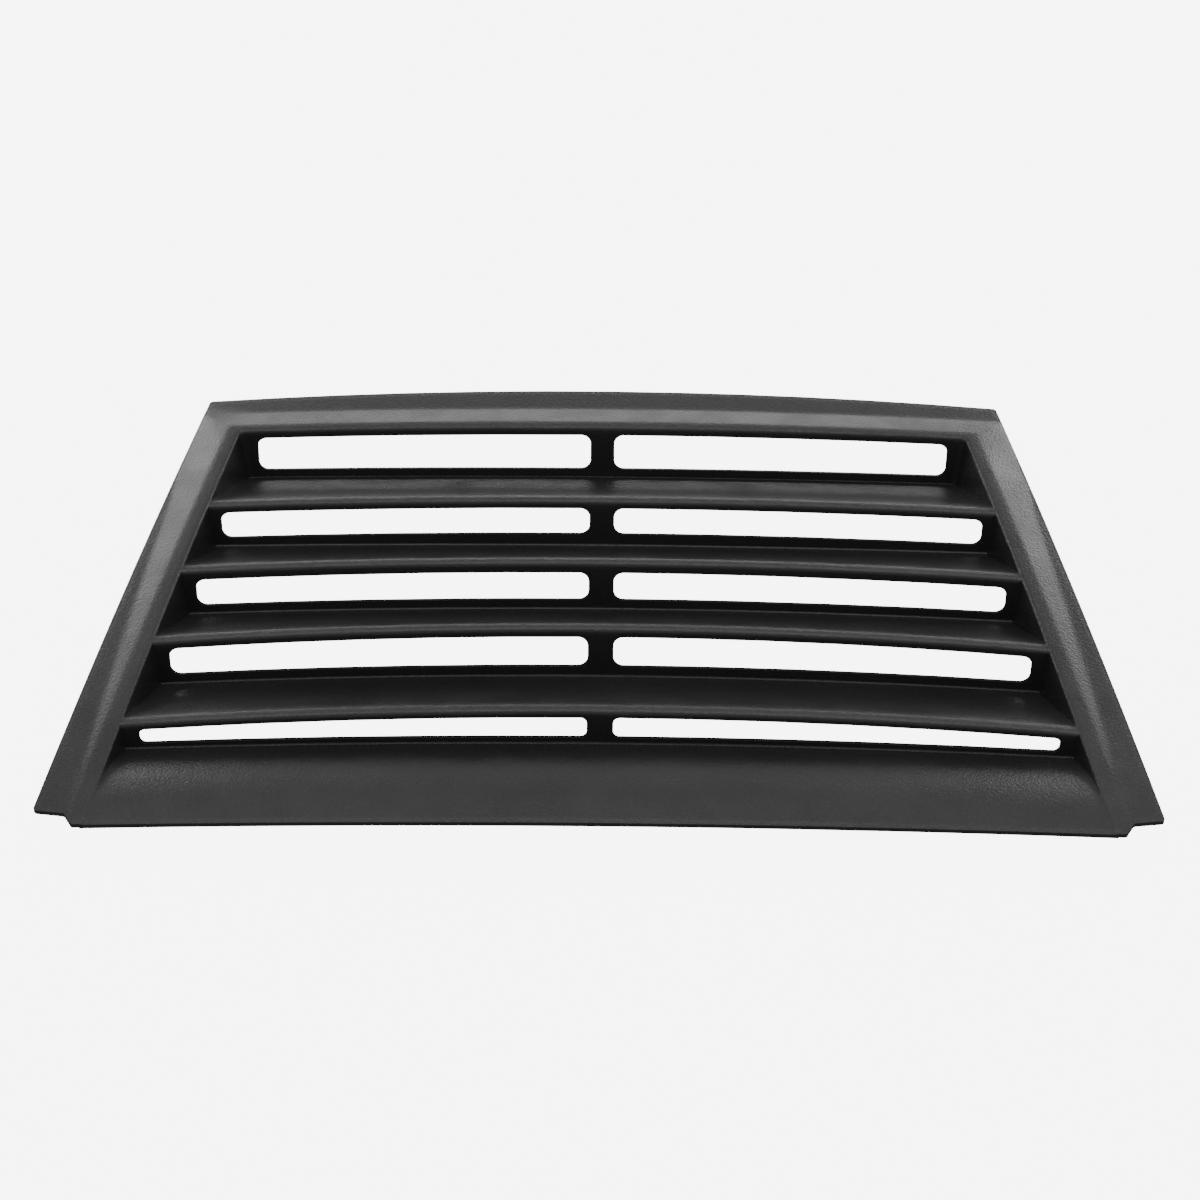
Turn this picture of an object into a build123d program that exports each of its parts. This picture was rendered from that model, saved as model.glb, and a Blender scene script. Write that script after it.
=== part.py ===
"""Car bonnet vent: one moulded panel with five stepped louvre pockets.

Modelling frame: x runs across the car, +y towards its front, which is the narrow end of
the panel, and +z away from the bonnet. The origin lies on the bonnet's surface. At the end
the panel is moved so that its bounding box stands on the origin, centred over it.
Lengths are in millimetres and angles in degrees.
"""

import os
from math import atan, cos, degrees, radians, sin, tan
from typing import NamedTuple

from build123d import *

# Moulding
WALL = 3.0
DRAFT = 8.0

# Bonnet surface that the panel follows
CROWN_ACROSS = 5600.0
CROWN_ALONG = 3600.0

# Outline in plan
FAR_Y = 244.8
FAR_SAG = 8.0
FAR_HALF = 276.3
EAR_Y = -165.3
EAR_HALF = 342.5
EAR_WIDTH = 19.6
EAR_SLANT = 3.4
NOTCH_SLANT = 5.4
TONGUE_Y = -180.7
TONGUE_SAG = 2.6
CORNER_RADIUS = 2.5

# Raised rim round the pockets
BEVEL_ANGLE = 14.7
RIM_BAND = 23.0
CREST_Y = 198.7
CREST_RISE = 6.3
TONGUE_RISE = 0.4
STRIP_WIDTH = 9.3
POCKET_FAR_Y = 191.5
EDGE_ROLL = 2.4
POCKET_CORNER = 4.0

# Nose of a louvre: a level band that rolls over into the wall below it
NOSE_DROP = 1.3
NOSE_BAND = 5.8
NOSE_ROLL = 2.6
NOSE_EASE = 7.0
NOSE_CHORDS = 4
CREASE_RADIUS = 1.5
CREASE_CHORDS = 3

# The last deck sweeps up to the tongue
SWEEP_CORNER_Y = -132.0
SWEEP_RADIUS = 110.0
UNDER_SWEEP_CHORDS = 6

# Slots through the walls
POST_WIDTH = 16.5
SLOT_CORNER = 6.5
SLOT_CORNER_SHARE = 0.4
LIP_ANGLE = 25.0

# Screw bosses under the rim, ending on one plane
BOSS_DIAMETER = 10.0
PILOT_DIAMETER = 4.2
PILOT_DEPTH = 9.0
BOSS_END_Z = -26.0
BOSS_INWARD = 14.0
SIDE_BOSS_Y = (150.0, 20.0, -110.0)
FAR_BOSS_X = 100.0
FAR_BOSS_Y = 221.0


class Louvre(NamedTuple):
    """One pocket: its wall, the deck that rises from it, and the slots through the wall."""

    wall_y: float
    depth: float
    bow: float
    end_lift: float
    slot_drop: float
    slot_height: float
    slot_end_height: float
    slot_side_gap: float


# From the narrow end towards the wide one
LOUVRES = (
    Louvre(POCKET_FAR_Y, 38.0, 0.0, 2.0, 4.6, 26.8, 25.4, 12.5),
    Louvre(111.0, 34.7, 1.5, 3.2, 5.2, 20.0, 19.6, 8.5),
    Louvre(47.2, 35.4, 4.2, 2.2, 6.8, 21.0, 19.8, 9.0),
    Louvre(-16.2, 35.8, 8.2, 3.8, 5.4, 22.4, 19.8, 9.5),
    Louvre(-89.5, 24.2, 7.6, 6.0, 4.3, 14.8, 10.0, 11.0),
)

# Reach of the helper solids past the panel
DEEP_Z = -70.0
HIGH_Z = 40.0
MARGIN = 60.0
OVERRUN = 20.0
CLEAR = 2.0
BURIED = 0.8 * WALL
RUN_IN = 6 * WALL
TONGUE_OVERRUN = 2 * OVERRUN

SPLAY = degrees(atan((EAR_HALF - FAR_HALF) / (FAR_Y - FAR_SAG - EAR_Y)))
STATION_X = EAR_HALF - RIM_BAND + BURIED
SLAB_REACH = FAR_Y - TONGUE_Y + MARGIN
SLAB_HALF_ANGLE = degrees(2 * EAR_HALF / CROWN_ACROSS)
DRAFT_RUN = tan(radians(DRAFT))


def crown(x: float, y: float) -> float:
    """Height of the bonnet's surface."""
    return -(x**2) / (2 * CROWN_ACROSS) - y**2 / (2 * CROWN_ALONG)


def rim_rise(y: float) -> float:
    """Height of the rim's top above the bonnet's surface."""
    share = (y - TONGUE_Y) / (CREST_Y - TONGUE_Y)
    return TONGUE_RISE + (CREST_RISE - TONGUE_RISE) * share


def side_x(y: float, inward: float) -> float:
    """Half-width of the outline at y, less a distance measured square to the side edge."""
    slant = tan(radians(SPLAY))
    return EAR_HALF - (y - EAR_Y) * slant - inward / cos(radians(SPLAY))


def crowned_slab(x: float, y: float, rise: float, slope_x: float, slope_y: float, inset: float):
    """Solid below the bonnet's crown, lifted and tilted about one point of it."""
    tilt_x = slope_x - x / CROWN_ACROSS
    tilt_y = slope_y - y / CROWN_ALONG
    up = Vector(-tilt_x, -tilt_y, 1).normalized()
    across = Vector(1, 0, tilt_x).normalized()
    seat = Plane(origin=(x, y, crown(x, y) + rise), x_dir=across, z_dir=up)
    centre = seat.origin - up * CROWN_ACROSS
    axis = Axis(centre, seat.y_dir)
    section = Plane(origin=centre, x_dir=seat.y_dir, z_dir=across.rotate(axis, -SLAB_HALF_ANGLE))
    top = CROWN_ACROSS - inset
    bend = CROWN_ALONG - inset
    sag = bend - (bend**2 - SLAB_REACH**2) ** 0.5
    left = (-SLAB_REACH, top - sag)
    right = (SLAB_REACH, top - sag)
    base = CROWN_ACROSS - SLAB_REACH
    with BuildPart() as slab:
        with BuildSketch(section):
            with BuildLine():
                ThreePointArc(left, (0, top), right)
                Polyline(right, (SLAB_REACH, base), (-SLAB_REACH, base), left)
            make_face()
        revolve(axis=axis, revolution_arc=2 * SLAB_HALF_ANGLE)
    return slab.part


def rim_slabs(inset: float):
    """The rim's top and the three bevels that lead up to it."""
    rim_slope = (CREST_RISE - TONGUE_RISE) / (CREST_Y - TONGUE_Y)
    fall = tan(radians(BEVEL_ANGLE))
    side_fall_x = -fall * cos(radians(SPLAY))
    side_fall_y = rim_slope - fall * sin(radians(SPLAY))
    crest_x = side_x(0, RIM_BAND)
    return (
        crowned_slab(0, 0, rim_rise(0), 0, rim_slope, inset),
        crowned_slab(0, CREST_Y, CREST_RISE, 0, -fall, inset),
        crowned_slab(crest_x, 0, rim_rise(0), side_fall_x, side_fall_y, inset),
        crowned_slab(-crest_x, 0, rim_rise(0), -side_fall_x, side_fall_y, inset),
    )


def pocket_prism(grow: float):
    """Tapered block that fills the opening inside the rim, grown square to its walls."""
    spread = grow / cos(radians(DRAFT)) + DEEP_Z * DRAFT_RUN
    far_y = POCKET_FAR_Y + spread
    near_y = TONGUE_Y - OVERRUN - spread
    inward = RIM_BAND + STRIP_WIDTH - spread
    far_x = side_x(far_y, inward)
    near_x = side_x(near_y, inward)
    with BuildPart() as prism:
        with BuildSketch(Plane.XY.offset(DEEP_Z)):
            Polygon((-far_x, far_y), (far_x, far_y), (near_x, near_y), (-near_x, near_y), align=None)
        extrude(amount=HIGH_Z - DEEP_Z, taper=-DRAFT)
        upright = [e for e in prism.edges() if e.bounding_box().size.Z > HIGH_Z]
        fillet([e for e in upright if e.center().Y > 0], POCKET_CORNER + grow)
    return prism.part


def nose_point(louvre: Louvre, x: float, back: float) -> tuple[float, float]:
    """Point (y, z) of a nose's level band, a distance back from the wall below it."""
    y = louvre.wall_y + back
    z = crown(0, y) + rim_rise(y) - NOSE_DROP
    return y - bow_at(louvre, x), z - x**2 / (2 * CROWN_ACROSS)


def bow_at(louvre: Louvre, x: float) -> float:
    """How far the wall at x lies nearer than at its middle."""
    return louvre.bow * (x / pocket_half(louvre)) ** 2


def pocket_half(louvre: Louvre) -> float:
    """Half-width of the pocket at a louvre's wall."""
    return side_x(louvre.wall_y, RIM_BAND + STRIP_WIDTH)


def crease_point(louvre: Louvre, x: float) -> tuple[float, float]:
    """Point (y, z) where the wall meets the deck."""
    top_y, top_z = nose_point(louvre, x, 0)
    drop = louvre.depth - louvre.end_lift * (x / pocket_half(louvre)) ** 2
    return top_y - drop * DRAFT_RUN, top_z - drop


def louvre_corners(x: float) -> list[tuple[float, float]]:
    """Corners (y, z) of the stepped surface at x, from the narrow end to the tongue."""
    crease = Vector(*crease_point(LOUVRES[0], x))
    band_end = Vector(*nose_point(LOUVRES[1], x, NOSE_BAND))
    run_in = crease + (crease - band_end).normalized() * RUN_IN
    corners = [(run_in.X, run_in.Y)]
    for louvre in LOUVRES[1:]:
        corners += [nose_point(louvre, x, NOSE_BAND), nose_point(louvre, x, 0), crease_point(louvre, x)]
    side_drop = x**2 / (2 * CROWN_ACROSS)
    return corners + [(y, crown(0, y) - side_drop) for y in (SWEEP_CORNER_Y, TONGUE_Y - TONGUE_OVERRUN)]


def roundings(inset: float) -> list[tuple[float, int]]:
    """Radius of each inner corner of the stepped surface, and its chords, or 0 for a true arc."""
    ease = (max(NOSE_EASE - inset, 0), 0)
    roll = (max(NOSE_ROLL - inset, 0), NOSE_CHORDS)
    crease = (CREASE_RADIUS + inset, CREASE_CHORDS)
    sweep = (SWEEP_RADIUS + inset, UNDER_SWEEP_CHORDS if inset else 0)
    return [ease, roll, crease] * len(LOUVRES[1:]) + [sweep]


def lowered(corners: list[tuple[float, float]], inset: float) -> list[Vector]:
    """The stepped line moved square to itself by the wall thickness."""
    points = [Vector(*corner) for corner in corners]
    normals = []
    for start, end in zip(points, points[1:]):
        along = (end - start).normalized()
        normals.append(Vector(-along.Y, along.X))
    moved = [points[0] + normals[0] * inset]
    for point, before, after in zip(points[1:], normals, normals[1:]):
        moved.append(point + (before + after) * (inset / (1 + before.dot(after))))
    moved.append(points[-1] + normals[-1] * inset)
    return moved


def chord_points(before: Vector, corner: Vector, after: Vector, radius: float, chords: int) -> list[Vector]:
    """Points along the arc that rounds a corner."""
    back = (before - corner).normalized()
    ahead = (after - corner).normalized()
    half_turn = radians(180 - back.get_angle(ahead)) / 2
    start = corner + back * radius * tan(half_turn)
    centre = corner + (back + ahead).normalized() * radius / cos(half_turn)
    turn = degrees(2 * half_turn) / chords
    if back.cross(ahead).Z > 0:
        turn = -turn
    spoke = start - centre
    return [centre + spoke.rotate(Axis.Z, turn * step) for step in range(chords + 1)]


def stepped_line(x: float, inset: float) -> tuple[list[Vector], list[float]]:
    """Points of the stepped surface at x, and the radius of the true arc at each inner one."""
    line = lowered(louvre_corners(x), inset)
    points = [line[0]]
    arcs = []
    for before, corner, after, (radius, chords) in zip(line, line[1:], line[2:], roundings(inset)):
        if radius and chords:
            found = chord_points(before, corner, after, radius, chords)
            points += found
            arcs += [0] * len(found)
        else:
            points.append(corner)
            arcs.append(radius)
    return points + [line[-1]], arcs


def louvre_bed(inset: float):
    """Solid below the stepped louvres, reaching a little way into the pocket's walls."""
    with BuildPart() as bed:
        for x in (-STATION_X, 0, STATION_X):
            top, arcs = stepped_line(x, inset)
            with BuildSketch(Plane.YZ.offset(x)):
                with BuildLine():
                    FilletPolyline(*top, radius=arcs)
                    Polyline(top[-1], (top[-1].X, DEEP_Z), (top[0].X, DEEP_Z), top[0])
                make_face()
        loft()
        add(pocket_prism(inset + BURIED), mode=Mode.INTERSECT)
    return bed.part


def outline():
    """The panel's outline in plan."""
    far = (FAR_HALF, FAR_Y - FAR_SAG)
    ear = (EAR_HALF, EAR_Y)
    notch = (EAR_HALF - EAR_WIDTH, EAR_Y - EAR_SLANT)
    tongue = (notch[0] - NOTCH_SLANT, TONGUE_Y + TONGUE_SAG)
    right = (far, ear, notch, tongue)
    left = [(-x, y) for x, y in reversed(right)]
    with BuildSketch() as sketch:
        with BuildLine():
            Polyline(*right)
            ThreePointArc(tongue, (0, TONGUE_Y), left[0])
            Polyline(*left)
            ThreePointArc(left[-1], (0, FAR_Y), far)
        make_face()
        fillet(sketch.vertices(), CORNER_RADIUS)
    return sketch.sketch


def filled_body(inset: float):
    """Everything below the panel's top surfaces, or below its inner ones."""
    top, *bevels = rim_slabs(inset)
    roll = EDGE_ROLL - inset
    with BuildPart() as body:
        add(top)
        for bevel in bevels:
            add(bevel, mode=Mode.INTERSECT)
        add(crowned_slab(0, 0, 0, 0, 0, inset))
        add(pocket_prism(inset), mode=Mode.SUBTRACT)
        if roll > 0:
            mouth = [e for e in body.edges(Select.LAST) if e.bounding_box().min.Z > DEEP_Z / 2]
            fillet([e for e in mouth if e.center().Y > TONGUE_Y], roll)
        add(louvre_bed(inset))
        with BuildSketch(Plane.XY.offset(DEEP_Z - inset)) as plan:
            add(outline())
            if inset:
                offset(amount=MARGIN)
        extrude(plan.sketch, amount=HIGH_Z - DEEP_Z, mode=Mode.INTERSECT)
    return body.part


def slot(louvre: Louvre, side: int):
    """Block with rounded ends that cuts one slot through a louvre's wall."""
    inner_x = POST_WIDTH / 2
    outer_x = pocket_half(louvre) - louvre.slot_side_gap
    corner = min(SLOT_CORNER, SLOT_CORNER_SHARE * louvre.slot_end_height)
    with BuildPart() as tool:
        for x in (inner_x, (inner_x + outer_x) / 2, outer_x):
            top_y, top_z = nose_point(louvre, x, 0)
            widening = (louvre.slot_end_height - louvre.slot_height) * (x / outer_x) ** 2
            upper = louvre.slot_drop
            lower = upper + louvre.slot_height + widening
            reach = WALL / cos(radians(DRAFT)) + CLEAR
            upper_y = top_y - upper * DRAFT_RUN
            lower_y = top_y - lower * DRAFT_RUN
            lip_fall = tan(radians(LIP_ANGLE))
            with BuildSketch(Plane.YZ.offset(side * x)):
                Polygon(
                    (upper_y + reach, top_z - upper),
                    (upper_y - CLEAR, top_z - upper),
                    (lower_y - CLEAR, top_z - lower + CLEAR * lip_fall),
                    (lower_y + reach, top_z - lower - reach * lip_fall),
                    align=None,
                )
        loft()
        ends = tool.faces().filter_by(Axis.X)
        fillet([e for e in ends.edges() if abs((e % 0.5).Y) > abs((e % 0.5).Z)], corner)
    return tool.part


def boss_places() -> list[tuple[float, float]]:
    """Plan positions of the screw bosses, in pairs across the panel."""
    pairs = [(side_x(y, BOSS_INWARD), y) for y in SIDE_BOSS_Y] + [(FAR_BOSS_X, FAR_BOSS_Y)]
    return [(side * x, y) for x, y in pairs for side in (-1, 1)]


with BuildPart() as core:
    add(filled_body(WALL))
    with BuildSketch(Plane.XY.offset(BOSS_END_Z)):
        with Locations(*boss_places()):
            Circle(BOSS_DIAMETER / 2)
    extrude(amount=HIGH_Z - BOSS_END_Z, mode=Mode.SUBTRACT)

with BuildPart() as vent_panel:
    add(filled_body(0))
    add(core.part, mode=Mode.SUBTRACT)
    add([slot(louvre, side) for louvre in LOUVRES for side in (-1, 1)], mode=Mode.SUBTRACT)
    with BuildSketch(Plane.XY.offset(BOSS_END_Z)):
        with Locations(*boss_places()):
            Circle(PILOT_DIAMETER / 2)
    extrude(amount=PILOT_DEPTH, mode=Mode.SUBTRACT)

box = vent_panel.part.bounding_box()
middle = box.center()
vent = vent_panel.part.moved(Location((-middle.X, -middle.Y, -box.min.Z)))
vent.label = "vent_panel"

os.makedirs("parts", exist_ok=True)
export_step(vent, "parts/vent_panel.step")
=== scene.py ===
"""Car bonnet vent: the finish of its moulded panel, with a plain studio and its camera."""

import logging
import math
from dataclasses import dataclass, field
from enum import Enum

import bpy
from mathutils import Matrix, Vector


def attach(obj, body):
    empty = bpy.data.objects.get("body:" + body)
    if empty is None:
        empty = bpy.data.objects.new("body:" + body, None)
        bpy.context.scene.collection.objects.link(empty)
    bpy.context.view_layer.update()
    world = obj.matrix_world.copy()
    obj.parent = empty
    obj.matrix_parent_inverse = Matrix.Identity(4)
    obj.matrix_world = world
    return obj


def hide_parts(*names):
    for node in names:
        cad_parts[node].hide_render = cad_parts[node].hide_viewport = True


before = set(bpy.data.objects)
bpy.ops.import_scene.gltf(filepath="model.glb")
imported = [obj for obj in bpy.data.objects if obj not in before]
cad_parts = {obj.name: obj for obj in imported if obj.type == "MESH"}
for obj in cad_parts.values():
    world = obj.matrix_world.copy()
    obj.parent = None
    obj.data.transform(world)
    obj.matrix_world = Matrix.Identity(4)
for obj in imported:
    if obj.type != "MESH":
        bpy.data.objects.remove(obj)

LOG = logging.getLogger("bonnet_vent")
MM = 0.001
Span = tuple[float, float]


class Side(Enum):
    """Faces of the panel that a mould leaves with different finishes."""

    SHOW = "grained_show_side"
    BACK = "plain_back_side"


@dataclass(frozen=True)
class PlasticFinish:
    """Finish of black moulded plastic. Lengths are in metres, colours in linear light."""

    name: str
    colour: tuple[float, float, float]
    worn_colour: tuple[float, float, float]
    dust_colour: tuple[float, float, float]
    roughness: float
    roughness_swing: float
    specular_level: float
    grain_size: float
    grain_depth: float
    edge_radius: float
    shallow_radius: float
    edge_wear: float
    edge_polish: float
    dust: float


FINISHES: dict[Side, PlasticFinish] = {
    Side.SHOW: PlasticFinish(
        name="textured_black_plastic",
        colour=(0.0190, 0.0192, 0.0198),
        worn_colour=(0.046, 0.047, 0.049),
        dust_colour=(0.13, 0.125, 0.115),
        roughness=0.35,
        roughness_swing=0.07,
        specular_level=0.5,
        grain_size=1.6 * MM,
        grain_depth=0.16 * MM,
        edge_radius=1.2 * MM,
        shallow_radius=6.0 * MM,
        edge_wear=0.18,
        edge_polish=0.12,
        dust=0.06,
    ),
    Side.BACK: PlasticFinish(
        name="plain_black_plastic",
        colour=(0.0175, 0.0177, 0.0180),
        worn_colour=(0.040, 0.041, 0.042),
        dust_colour=(0.11, 0.105, 0.10),
        roughness=0.46,
        roughness_swing=0.14,
        specular_level=0.5,
        grain_size=5.0 * MM,
        grain_depth=0.03 * MM,
        edge_radius=0.8 * MM,
        shallow_radius=3.0 * MM,
        edge_wear=0.12,
        edge_polish=0.12,
        dust=0.0,
    ),
}


def new_group(
    name: str, inputs: dict[str, tuple[str, object]], outputs: dict[str, str]
) -> bpy.types.NodeTree:
    """Make an empty shader group with named sockets.

    Args:
        name: the group's name.
        inputs: socket name to its socket type and default value.
        outputs: socket name to its socket type.

    Returns:
        The group, holding only its input and output nodes, named "in" and "out".
    """
    group = bpy.data.node_groups.new(name, "ShaderNodeTree")
    for label, (kind, default) in inputs.items():
        socket = group.interface.new_socket(label, in_out="INPUT", socket_type=kind)
        if default is not None:
            socket.default_value = default
    for label, kind in outputs.items():
        group.interface.new_socket(label, in_out="OUTPUT", socket_type=kind)
    entry = group.nodes.new("NodeGroupInput")
    entry.name = "in"
    leave = group.nodes.new("NodeGroupOutput")
    leave.name = "out"
    return group


def add_node(tree: bpy.types.NodeTree, kind: str, **settings: object) -> bpy.types.Node:
    """Add a node and set its properties, such as its operation.

    Args:
        tree: the tree that gets the node.
        kind: the node's type.
        settings: property names and values.

    Returns:
        The new node.
    """
    node = tree.nodes.new(kind)
    for key, value in settings.items():
        setattr(node, key, value)
    return node


def add_math(tree: bpy.types.NodeTree, operation: str, *values: object) -> bpy.types.NodeSocket:
    """Add a Math node whose inputs are numbers or other nodes' outputs.

    Args:
        tree: the tree that gets the node.
        operation: the Math node's operation.
        values: a number or an output socket for each input, in order.

    Returns:
        The node's output socket.
    """
    node = add_node(tree, "ShaderNodeMath", operation=operation)
    for slot, value in zip(node.inputs, values):
        if isinstance(value, bpy.types.NodeSocket):
            tree.links.new(value, slot)
        else:
            slot.default_value = value
    return node.outputs[0]


def add_range(
    tree: bpy.types.NodeTree, value: bpy.types.NodeSocket, span: Span
) -> bpy.types.NodeSocket:
    """Stretch a value so that a span's start gives 0 and its end gives 1, with soft ends.

    Args:
        tree: the tree that gets the node.
        value: the socket that is stretched.
        span: the values that give 0 and 1.

    Returns:
        The stretched value's socket.
    """
    node = add_node(tree, "ShaderNodeMapRange", interpolation_type="SMOOTHSTEP")
    node.inputs["From Min"].default_value, node.inputs["From Max"].default_value = span
    tree.links.new(value, node.inputs["Value"])
    return node.outputs["Result"]


@dataclass(frozen=True)
class GrainGroup:
    """Spark-eroded grain of a moulding tool: small rounded cells with a finer tooth on them."""

    name: str = "moulded_grain"
    cell_softness: float = 0.7
    tooth_density: float = 2.4
    tooth_detail: float = 3.0
    drift_density: float = 0.06
    drift_detail: float = 2.0
    drift_span: Span = (0.3, 0.7)

    def build(self) -> bpy.types.NodeTree:
        """Build the group.

        Returns:
            The group, with Height and Shade outputs.
        """
        group = new_group(
            self.name,
            {"Grain Size": ("NodeSocketFloat", 0.001), "Fine Share": ("NodeSocketFloat", 0.35)},
            {"Height": "NodeSocketFloat", "Shade": "NodeSocketFloat"},
        )
        entry, leave = group.nodes["in"], group.nodes["out"]
        place = add_node(group, "ShaderNodeTexCoord")
        scale = add_math(group, "DIVIDE", 1.0, entry.outputs["Grain Size"])
        cells = add_node(group, "ShaderNodeTexVoronoi", feature="SMOOTH_F1")
        cells.inputs["Smoothness"].default_value = self.cell_softness
        tooth = add_node(group, "ShaderNodeTexNoise")
        tooth.inputs["Detail"].default_value = self.tooth_detail
        drift = add_node(group, "ShaderNodeTexNoise")
        drift.inputs["Detail"].default_value = self.drift_detail
        textures = ((cells, 1.0), (tooth, self.tooth_density), (drift, self.drift_density))
        for texture, density in textures:
            group.links.new(place.outputs["Object"], texture.inputs["Vector"])
            group.links.new(add_math(group, "MULTIPLY", scale, density), texture.inputs["Scale"])
        fine = add_math(group, "MULTIPLY", tooth.outputs["Fac"], entry.outputs["Fine Share"])
        coarse = add_math(group, "SUBTRACT", 1.0, cells.outputs["Distance"])
        group.links.new(add_math(group, "ADD", coarse, fine), leave.inputs["Height"])
        shade = add_range(group, drift.outputs["Fac"], self.drift_span)
        group.links.new(shade, leave.inputs["Shade"])
        return group


@dataclass(frozen=True)
class EdgeGroup:
    """Rounded normals along the edges, broad on shallow creases, and a mask of the rubbed edges."""

    name: str = "rubbed_edges"
    samples: int = 6
    rubbed_span: Span = (0.01, 0.12)
    shallow_span: Span = (0.95, 0.98)
    patch_detail: float = 4.0
    patch_span: Span = (0.35, 0.65)

    def rounded_normal(self, group: bpy.types.NodeTree, radius: bpy.types.NodeSocket) -> tuple:
        """Round the surface's normals.

        Args:
            group: the group that gets the nodes.
            radius: the socket with the rounding's radius.

        Returns:
            The sockets of the rounded normal and of how far it agrees with the true one.
        """
        rounded = add_node(group, "ShaderNodeBevel", samples=self.samples)
        group.links.new(radius, rounded.inputs["Radius"])
        surface = add_node(group, "ShaderNodeNewGeometry")
        agreement = add_node(group, "ShaderNodeVectorMath", operation="DOT_PRODUCT")
        group.links.new(rounded.outputs["Normal"], agreement.inputs[0])
        group.links.new(surface.outputs["Normal"], agreement.inputs[1])
        return rounded.outputs["Normal"], agreement.outputs["Value"]

    def build(self) -> bpy.types.NodeTree:
        """Build the group.

        Returns:
            The group, with Mask and Normal outputs.
        """
        group = new_group(
            self.name,
            {
                "Radius": ("NodeSocketFloat", 0.0005),
                "Shallow Radius": ("NodeSocketFloat", 0.004),
                "Patch Size": ("NodeSocketFloat", 0.03),
            },
            {"Mask": "NodeSocketFloat", "Normal": "NodeSocketVector"},
        )
        entry, leave = group.nodes["in"], group.nodes["out"]
        narrow, narrow_agreement = self.rounded_normal(group, entry.outputs["Radius"])
        broad, broad_agreement = self.rounded_normal(group, entry.outputs["Shallow Radius"])
        turned = add_math(group, "SUBTRACT", 1.0, narrow_agreement)
        edge = add_range(group, turned, self.rubbed_span)
        place = add_node(group, "ShaderNodeTexCoord")
        patches = add_node(group, "ShaderNodeTexNoise")
        patches.inputs["Detail"].default_value = self.patch_detail
        group.links.new(place.outputs["Object"], patches.inputs["Vector"])
        patch_scale = add_math(group, "DIVIDE", 1.0, entry.outputs["Patch Size"])
        group.links.new(patch_scale, patches.inputs["Scale"])
        broken = add_range(group, patches.outputs["Fac"], self.patch_span)
        group.links.new(add_math(group, "MULTIPLY", edge, broken), leave.inputs["Mask"])
        choice = add_node(group, "ShaderNodeMix", data_type="VECTOR")
        ways = {socket.identifier: socket for socket in (*choice.inputs, *choice.outputs)}
        group.links.new(add_range(group, broad_agreement, self.shallow_span), ways["Factor_Float"])
        group.links.new(narrow, ways["A_Vector"])
        group.links.new(broad, ways["B_Vector"])
        group.links.new(ways["Result_Vector"], leave.inputs["Normal"])
        return group


@dataclass(frozen=True)
class DustGroup:
    """Thin dust that lies on faces that look up, in cloudy patches."""

    name: str = "settled_dust"
    upward_span: Span = (0.55, 1.0)
    cloud_detail: float = 5.0
    cloud_roughness: float = 0.62
    cloud_span: Span = (0.35, 0.75)

    def build(self) -> bpy.types.NodeTree:
        """Build the group.

        Returns:
            The group, with a Mask output.
        """
        group = new_group(
            self.name,
            {"Amount": ("NodeSocketFloat", 0.1), "Patch Size": ("NodeSocketFloat", 0.12)},
            {"Mask": "NodeSocketFloat"},
        )
        entry, leave = group.nodes["in"], group.nodes["out"]
        surface = add_node(group, "ShaderNodeNewGeometry")
        split = add_node(group, "ShaderNodeSeparateXYZ")
        group.links.new(surface.outputs["Normal"], split.inputs[0])
        upward = add_range(group, split.outputs["Z"], self.upward_span)
        place = add_node(group, "ShaderNodeTexCoord")
        cloud = add_node(group, "ShaderNodeTexNoise")
        cloud.inputs["Detail"].default_value = self.cloud_detail
        cloud.inputs["Roughness"].default_value = self.cloud_roughness
        group.links.new(place.outputs["Object"], cloud.inputs["Vector"])
        cloud_scale = add_math(group, "DIVIDE", 1.0, entry.outputs["Patch Size"])
        group.links.new(cloud_scale, cloud.inputs["Scale"])
        cloudy = add_range(group, cloud.outputs["Fac"], self.cloud_span)
        lying = add_math(group, "MULTIPLY", upward, cloudy)
        mask = add_math(group, "MULTIPLY", lying, entry.outputs["Amount"])
        group.links.new(mask, leave.inputs["Mask"])
        return group


@dataclass
class EffectGroups:
    """The shader groups that the panel's materials share."""

    grain: bpy.types.NodeTree = field(default_factory=lambda: GrainGroup().build())
    edges: bpy.types.NodeTree = field(default_factory=lambda: EdgeGroup().build())
    dust: bpy.types.NodeTree = field(default_factory=lambda: DustGroup().build())


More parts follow.
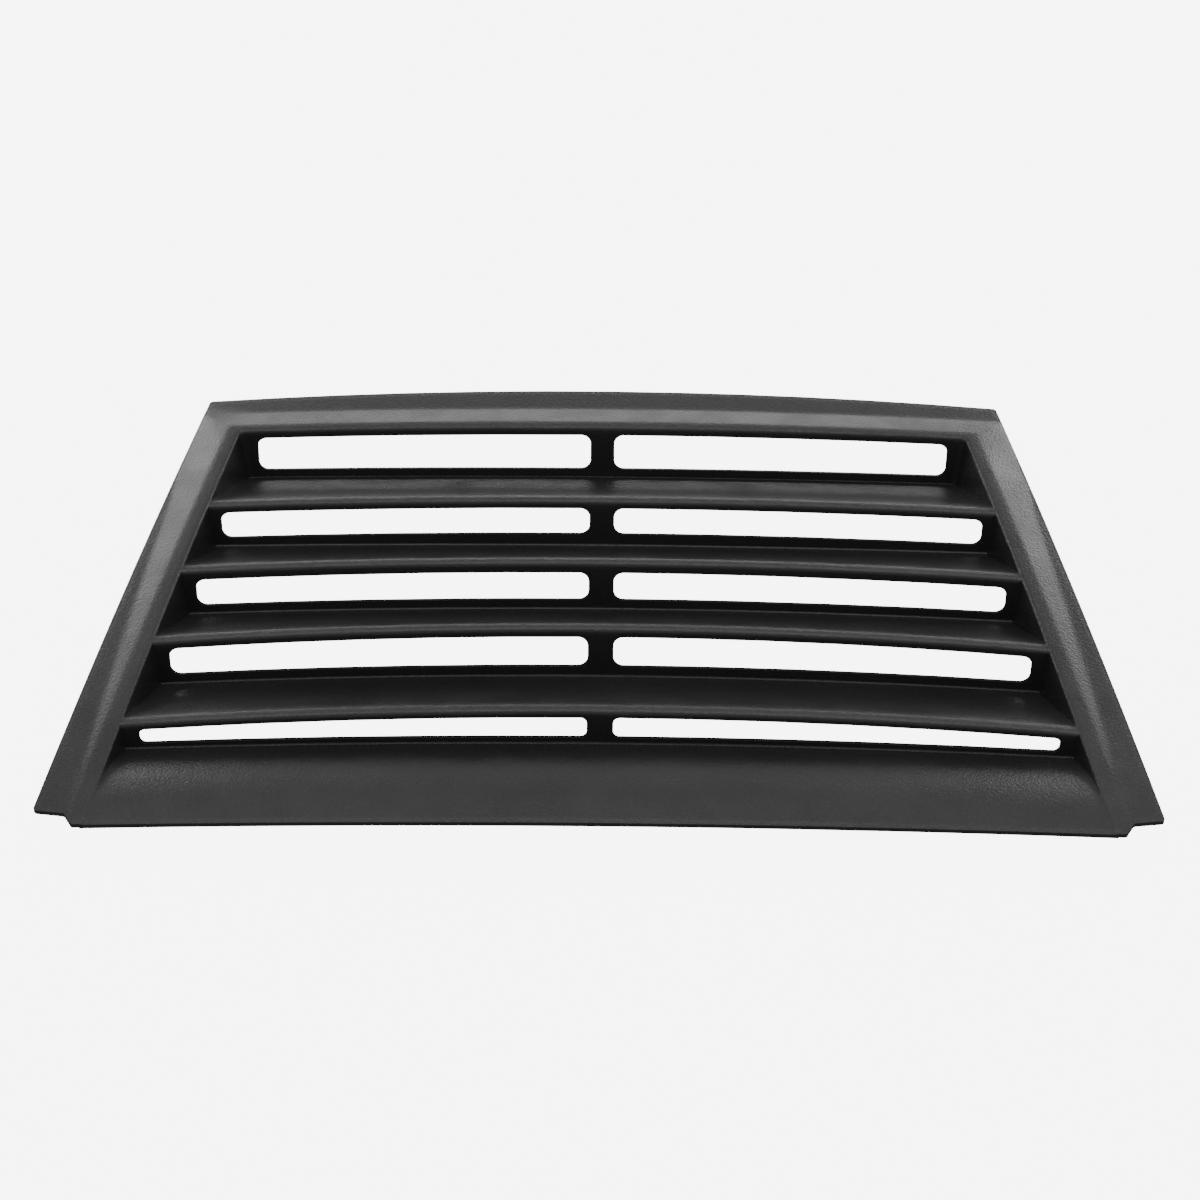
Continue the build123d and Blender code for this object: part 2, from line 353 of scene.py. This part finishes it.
class PlasticMaterial:
    """Black moulded plastic, made from a finish and the shared effects."""

    def __init__(self, finish: PlasticFinish, effects: EffectGroups) -> None:
        """Keep the finish and the groups.

        Args:
            finish: colours, gloss and grain.
            effects: the shared shader groups.
        """
        self.finish = finish
        self.effects = effects

    def place_group(
        self, tree: bpy.types.NodeTree, group: bpy.types.NodeTree, **values: float
    ) -> bpy.types.Node:
        """Place a shared group in the material.

        Args:
            tree: the material's tree.
            group: the group to place.
            values: input names, with underscores for spaces, and their values.

        Returns:
            The group's node.
        """
        node = add_node(tree, "ShaderNodeGroup", node_tree=group)
        for key, value in values.items():
            node.inputs[key.replace("_", " ")].default_value = value
        return node

    def blend(
        self, tree: bpy.types.NodeTree, mask: bpy.types.NodeSocket, under: object, over: tuple
    ) -> bpy.types.NodeSocket:
        """Lay one colour over another by a mask.

        Args:
            tree: the material's tree.
            mask: where the upper colour shows.
            under: a colour or a colour socket.
            over: the upper colour.

        Returns:
            The mixed colour's socket.
        """
        mix = add_node(tree, "ShaderNodeMix", data_type="RGBA")
        tree.links.new(mask, mix.inputs["Factor"])
        if isinstance(under, bpy.types.NodeSocket):
            tree.links.new(under, mix.inputs["A"])
        else:
            mix.inputs["A"].default_value = (*under, 1.0)
        mix.inputs["B"].default_value = (*over, 1.0)
        return mix.outputs["Result"]

    def build(self) -> bpy.types.Material:
        """Build the material.

        Returns:
            The finished material.
        """
        finish = self.finish
        material = bpy.data.materials.new(finish.name)
        material.use_nodes = True
        tree = material.node_tree
        shader = tree.nodes["Principled BSDF"]
        shader.inputs["Specular IOR Level"].default_value = finish.specular_level
        grain = self.place_group(tree, self.effects.grain, Grain_Size=finish.grain_size)
        edges = self.place_group(
            tree,
            self.effects.edges,
            Radius=finish.edge_radius,
            Shallow_Radius=finish.shallow_radius,
        )
        dust = self.place_group(tree, self.effects.dust, Amount=finish.dust)
        wear = add_math(tree, "MULTIPLY", edges.outputs["Mask"], finish.edge_wear)
        colour = self.blend(tree, wear, finish.colour, finish.worn_colour)
        colour = self.blend(tree, dust.outputs["Mask"], colour, finish.dust_colour)
        tree.links.new(colour, shader.inputs["Base Color"])
        swing = add_math(tree, "MULTIPLY", grain.outputs["Shade"], finish.roughness_swing)
        dull = add_math(tree, "ADD", swing, finish.roughness - finish.roughness_swing / 2)
        polished = add_math(tree, "MULTIPLY", wear, -finish.edge_polish)
        tree.links.new(add_math(tree, "ADD", dull, polished), shader.inputs["Roughness"])
        bump = add_node(tree, "ShaderNodeBump")
        bump.inputs["Strength"].default_value = 1.0
        bump.inputs["Distance"].default_value = finish.grain_depth
        tree.links.new(grain.outputs["Height"], bump.inputs["Height"])
        tree.links.new(edges.outputs["Normal"], bump.inputs["Normal"])
        tree.links.new(bump.outputs["Normal"], shader.inputs["Normal"])
        return material


@dataclass
class PanelSkin:
    """The moulded panel's own surface, closed and smooth shaded, in place of its CAD node."""

    node: str = "vent_panel"
    body: str = "root"
    slot: str = "textured_plastic"
    merge_distance: float = 0.002 * MM
    level_share: float = 0.93
    level_angle: float = math.radians(8.0)
    steep_angle: float = math.radians(33.0)
    both_sides: float = 0.9
    back_lean: float = -0.25
    wide_face_weight: int = 80

    def smoothing_tree(self, materials: dict[Side, bpy.types.Material]) -> bpy.types.NodeTree:
        """Build the tree that joins the surface, marks its sharp edges and dresses it.

        An edge between two nearly level faces is a crease from a small angle on, and one in
        a rounding, whose faces turn steep, only from a large angle on.

        Args:
            materials: the material of each side of the panel.

        Returns:
            The Geometry Nodes tree.
        """
        tree = bpy.data.node_groups.new("panel_surface", "GeometryNodeTree")
        sockets = tree.interface
        sockets.new_socket("Geometry", in_out="INPUT", socket_type="NodeSocketGeometry")
        sizes = {
            "Merge Distance": self.merge_distance,
            "Level Share": self.level_share,
            "Level Angle": self.level_angle,
            "Steep Angle": self.steep_angle,
            "Back Lean": self.back_lean,
        }
        for label, value in sizes.items():
            socket = sockets.new_socket(label, in_out="INPUT", socket_type="NodeSocketFloat")
            socket.default_value = value
        sockets.new_socket("Geometry", in_out="OUTPUT", socket_type="NodeSocketGeometry")
        entry = add_node(tree, "NodeGroupInput")
        leave = add_node(tree, "NodeGroupOutput")
        merge = add_node(tree, "GeometryNodeMergeByDistance")
        faces = add_node(tree, "GeometryNodeSetShadeSmooth", domain="FACE")
        creases = add_node(tree, "GeometryNodeSetShadeSmooth", domain="EDGE")
        creases.inputs["Shade Smooth"].default_value = False
        realize = add_node(tree, "GeometryNodeRealizeInstances")
        dress = add_node(tree, "GeometryNodeSetMaterial")
        dress.inputs["Material"].default_value = materials[Side.SHOW]
        line = add_node(tree, "GeometryNodeSetMaterial")
        line.inputs["Material"].default_value = materials[Side.BACK]
        link = tree.links.new
        link(entry.outputs["Geometry"], merge.inputs["Geometry"])
        link(entry.outputs["Merge Distance"], merge.inputs["Distance"])
        link(merge.outputs["Geometry"], faces.inputs["Geometry"])
        link(faces.outputs["Geometry"], creases.inputs["Geometry"])
        link(self.crease_field(tree, entry), creases.inputs["Selection"])
        link(creases.outputs["Geometry"], realize.inputs["Geometry"])
        link(realize.outputs["Geometry"], dress.inputs["Geometry"])
        link(dress.outputs["Geometry"], line.inputs["Geometry"])
        looks_down = add_math(tree, "LESS_THAN", self.face_lean(tree), entry.outputs["Back Lean"])
        link(looks_down, line.inputs["Selection"])
        link(line.outputs["Geometry"], leave.inputs["Geometry"])
        return tree

    def face_lean(self, tree: bpy.types.NodeTree) -> bpy.types.NodeSocket:
        """Read how far each face looks up or down.

        Args:
            tree: the Geometry Nodes tree.

        Returns:
            A field with the upward part of each face's normal.
        """
        normal = add_node(
            tree, "GeometryNodeFieldOnDomain", domain="FACE", data_type="FLOAT_VECTOR"
        )
        own_normal = add_node(tree, "GeometryNodeInputNormal")
        tree.links.new(own_normal.outputs["Normal"], normal.inputs["Value"])
        split = add_node(tree, "ShaderNodeSeparateXYZ")
        tree.links.new(normal.outputs["Value"], split.inputs[0])
        return split.outputs["Z"]

    def crease_field(self, tree: bpy.types.NodeTree, entry: bpy.types.Node) -> bpy.types.NodeSocket:
        """Work out which edges stay sharp.

        Args:
            tree: the Geometry Nodes tree.
            entry: its input node, with the angles and how level a level face is.

        Returns:
            A field that is true on the sharp edges.
        """
        upright = add_math(tree, "ABSOLUTE", self.face_lean(tree))
        level = add_math(tree, "GREATER_THAN", upright, entry.outputs["Level Share"])
        level_sides = add_node(tree, "GeometryNodeFieldOnDomain", domain="EDGE", data_type="FLOAT")
        tree.links.new(level, level_sides.inputs["Value"])
        both_level = add_math(tree, "GREATER_THAN", level_sides.outputs["Value"], self.both_sides)
        angle = add_node(tree, "GeometryNodeInputMeshEdgeAngle").outputs["Unsigned Angle"]
        over_level = add_math(tree, "GREATER_THAN", angle, entry.outputs["Level Angle"])
        over_steep = add_math(tree, "GREATER_THAN", angle, entry.outputs["Steep Angle"])
        ridge = add_math(tree, "MULTIPLY", both_level, over_level)
        return add_math(tree, "MAXIMUM", ridge, over_steep)

    def build(self, materials: dict[Side, bpy.types.Material]) -> bpy.types.Object:
        """Make the panel's visible surface.

        Args:
            materials: the material of each side of the panel.

        Returns:
            The dressed piece, which rides on the panel's body.
        """
        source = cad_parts[self.node]
        mesh = source.data.copy()
        skin = bpy.data.objects.new("vent_skin", mesh)
        bpy.context.collection.objects.link(skin)
        surface = skin.modifiers.new("surface", "NODES")
        surface.node_group = self.smoothing_tree(materials)
        normals = skin.modifiers.new("normals", "WEIGHTED_NORMAL")
        normals.keep_sharp = True
        normals.weight = self.wide_face_weight
        graph = bpy.context.evaluated_depsgraph_get()
        finished = bpy.data.meshes.new_from_object(skin.evaluated_get(graph))
        skin.modifiers.clear()
        skin.data = finished
        bpy.data.meshes.remove(mesh)
        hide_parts(self.node)
        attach(skin, self.body)
        LOG.info("%s: %d faces", skin.name, len(finished.polygons))
        return skin


@dataclass
class Camera:
    """The photograph's view: a long lens that looks down on the panel from its wide end."""

    aim: tuple[float, float, float] = (0.0, -32.05 * MM, 45.9 * MM)
    distance: float = 1.926
    elevation: float = math.radians(42.0)
    roll: float = math.radians(0.55)
    focal_share: float = 2.5
    sensor_width: float = 36.0
    shift: Span = (-0.0008, 0.0125)
    sight_range: float = 50.0

    def build(self) -> bpy.types.Object:
        """Place the camera.

        Returns:
            The scene's camera.
        """
        back = Vector((0.0, -math.cos(self.elevation), math.sin(self.elevation)))
        level_up = Vector((0.0, math.sin(self.elevation), math.cos(self.elevation)))
        across = Vector((1.0, 0.0, 0.0))
        right = across * math.cos(self.roll) + level_up * math.sin(self.roll)
        up = level_up * math.cos(self.roll) - across * math.sin(self.roll)
        data = bpy.data.cameras.new("camera")
        data.sensor_width = self.sensor_width
        data.lens = self.focal_share * self.sensor_width
        data.shift_x, data.shift_y = self.shift
        data.clip_end = self.sight_range
        camera = bpy.data.objects.new("camera", data)
        place = Matrix((right, up, back)).transposed().to_4x4()
        place.translation = Vector(self.aim) + back * self.distance
        camera.matrix_world = place
        bpy.context.collection.objects.link(camera)
        bpy.context.scene.camera = camera
        return camera


@dataclass(frozen=True)
class SoftLight:
    """One soft light of the studio. Lengths are in metres, radiance in watts per area."""

    name: str
    place: tuple[float, float, float]
    aim: tuple[float, float, float]
    size: Span
    radiance: float

    @property
    def power(self) -> float:
        """Power in watts of a lamp of this size and radiance."""
        return self.radiance * math.pi * self.size[0] * self.size[1]


@dataclass
class Studio:
    """A pale table, overexposed where it is seen, and soft boxes above and behind the panel."""

    floor_half: float = 6.0
    floor_roughness: float = 0.9
    floor_colour: tuple[float, float, float] = (0.18, 0.18, 0.18)
    floor_glow: float = 0.03
    seen_glow: float = 7.0
    dim_sky: float = 0.50
    back_sky: float = 0.58
    behind_span: Span = (-0.1, 0.8)
    straight_behind_span: Span = (0.80, 0.95)
    above_horizon_span: Span = (0.01, 0.15)
    horizon: float = 5.4
    lights: tuple[SoftLight, ...] = (
        SoftLight("overhead", (0.0, 0.15, 1.5), (0.0, 0.0, 0.0), (1.8, 0.5), 3.2),
        SoftLight("left_box", (-0.78, 0.85, 0.28), (-0.25, 0.1, 0.0), (0.50, 0.34), 4.2),
        SoftLight("right_box", (0.78, 0.85, 0.28), (0.25, 0.1, 0.0), (0.50, 0.34), 4.2),
    )

    def build_floor(self) -> bpy.types.Object:
        """Lay the table.

        Returns:
            The floor.
        """
        mesh = bpy.data.meshes.new("floor")
        half = self.floor_half
        corners = [(-half, -half, 0.0), (half, -half, 0.0), (half, half, 0.0), (-half, half, 0.0)]
        mesh.from_pydata(corners, [], [(0, 1, 2, 3)])
        floor = bpy.data.objects.new("floor", mesh)
        bpy.context.collection.objects.link(floor)
        material = bpy.data.materials.new("pale_table")
        material.use_nodes = True
        shader = material.node_tree.nodes["Principled BSDF"]
        shader.inputs["Base Color"].default_value = (*self.floor_colour, 1.0)
        shader.inputs["Roughness"].default_value = self.floor_roughness
        shader.inputs["Emission Color"].default_value = (1.0, 1.0, 1.0, 1.0)
        glow = self.seen_as_white(material.node_tree, self.floor_glow)
        material.node_tree.links.new(glow, shader.inputs["Emission Strength"])
        mesh.materials.append(material)
        return floor

    def seen_as_white(self, tree: bpy.types.NodeTree, light: object) -> bpy.types.NodeSocket:
        """Let a surface of the studio show overexposed, while it lights the panel as planned.

        Args:
            tree: the floor's or the surround's tree.
            light: the strength with which it lights the panel, a number or a socket.

        Returns:
            The strength's socket.
        """
        seen = add_node(tree, "ShaderNodeLightPath").outputs["Is Camera Ray"]
        return add_math(tree, "MULTIPLY_ADD", seen, self.seen_glow, light)

    def build_light(self, plan: SoftLight) -> bpy.types.Object:
        """Hang one light.

        Args:
            plan: the light's place, size and radiance.

        Returns:
            The light.
        """
        data = bpy.data.lights.new(plan.name, "AREA")
        data.shape = "RECTANGLE"
        data.size, data.size_y = plan.size
        data.energy = plan.power
        light = bpy.data.objects.new(plan.name, data)
        light.location = plan.place
        towards = Vector(plan.aim) - Vector(plan.place)
        light.rotation_euler = towards.to_track_quat("-Z", "Y").to_euler()
        light.visible_camera = False
        bpy.context.collection.objects.link(light)
        return light

    def build_surround(self) -> bpy.types.World:
        """Light the room: brightest low behind the panel, dim overhead and on the camera's side.

        Returns:
            The scene's world.
        """
        world = bpy.data.worlds.new("studio")
        world.use_nodes = True
        tree = world.node_tree
        split = add_node(tree, "ShaderNodeSeparateXYZ")
        tree.links.new(add_node(tree, "ShaderNodeTexCoord").outputs["Generated"], split.inputs[0])
        behind = add_range(tree, split.outputs["Y"], self.behind_span)
        straight_behind = add_range(tree, split.outputs["Y"], self.straight_behind_span)
        high = add_range(tree, split.outputs["Z"], self.above_horizon_span)
        low = add_math(tree, "SUBTRACT", 1.0, high)
        sky = add_math(tree, "MULTIPLY", behind, self.back_sky - self.dim_sky)
        place = add_math(tree, "MULTIPLY", straight_behind, low)
        band = add_math(tree, "MULTIPLY", place, self.horizon)
        bright = add_math(tree, "ADD", sky, band)
        total = add_math(tree, "ADD", bright, self.dim_sky)
        background = tree.nodes["Background"]
        background.inputs["Color"].default_value = (1.0, 1.0, 1.0, 1.0)
        tree.links.new(self.seen_as_white(tree, total), background.inputs["Strength"])
        bpy.context.scene.world = world
        return world

    def build(self) -> None:
        """Build the whole studio."""
        self.build_floor()
        for plan in self.lights:
            self.build_light(plan)
        self.build_surround()


def main() -> None:
    """Build the panel, the studio and the camera."""
    logging.basicConfig(level=logging.INFO, format="%(name)s: %(message)s")
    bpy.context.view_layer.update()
    effects = EffectGroups()
    materials = {
        side: PlasticMaterial(finish, effects).build() for side, finish in FINISHES.items()
    }
    PanelSkin().build(materials)
    Studio().build()
    Camera().build()


if __name__ == "__main__":
    main()
